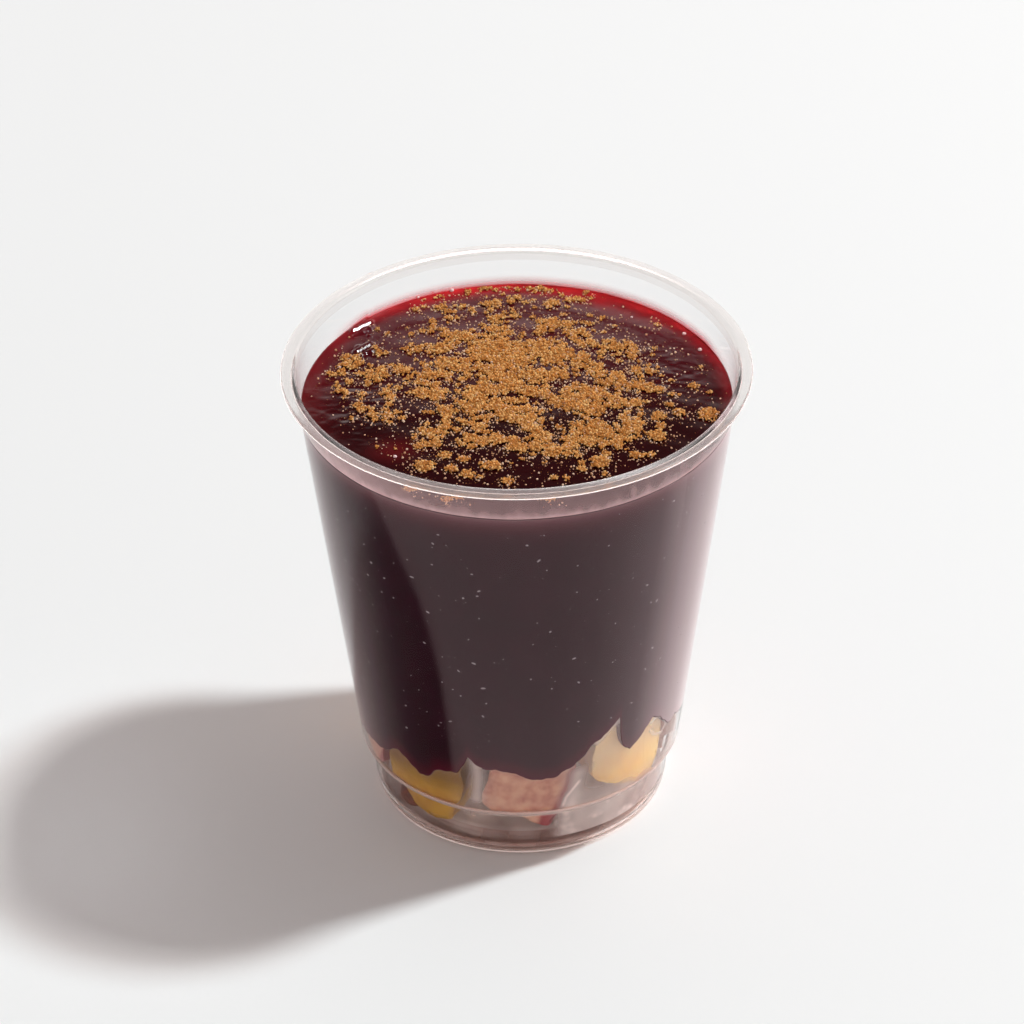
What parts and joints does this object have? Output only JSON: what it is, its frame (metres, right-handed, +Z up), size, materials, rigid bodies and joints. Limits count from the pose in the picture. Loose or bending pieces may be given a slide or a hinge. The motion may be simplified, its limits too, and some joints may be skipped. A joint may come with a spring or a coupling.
{
  "type": "cup of purple corn pudding",
  "caption": "Clear plastic tumbler filled with dark purple corn pudding, fruit pieces at the foot and ground cinnamon scattered on top.",
  "frame": {"origin": "on the cup's axis, at the plane of its foot", "axes": "+Z up along the cup's axis, -Y towards the side that the picture shows, +X to its right"},
  "size_m": [0.095, 0.095, 0.102],
  "materials": {
    "clear_cup": "clear, glossy",
    "pudding": "glossy starch gel, dusted with matt brown powder",
    "cinnamon": "matt powder",
    "pineapple": "moist, translucent",
    "pineapple_pale": "moist, translucent",
    "quince": "moist, stained flesh with red skin",
    "prune": "moist, dark skin",
    "syrup": "thin clear film on the wall"
  },
  "bodies": {
    "root": {"cup": "clear_cup", "pudding": "pudding", "pineapple_left": "pineapple", "pineapple_right": "pineapple_pale", "pineapple_back_right": "pineapple", "pineapple_back_left": "pineapple_pale", "quince_front": "quince", "quince_side": "quince", "quince_back": "quince", "quince_left": "quince", "prune_left": "prune"}
  },
  "joints": []
}
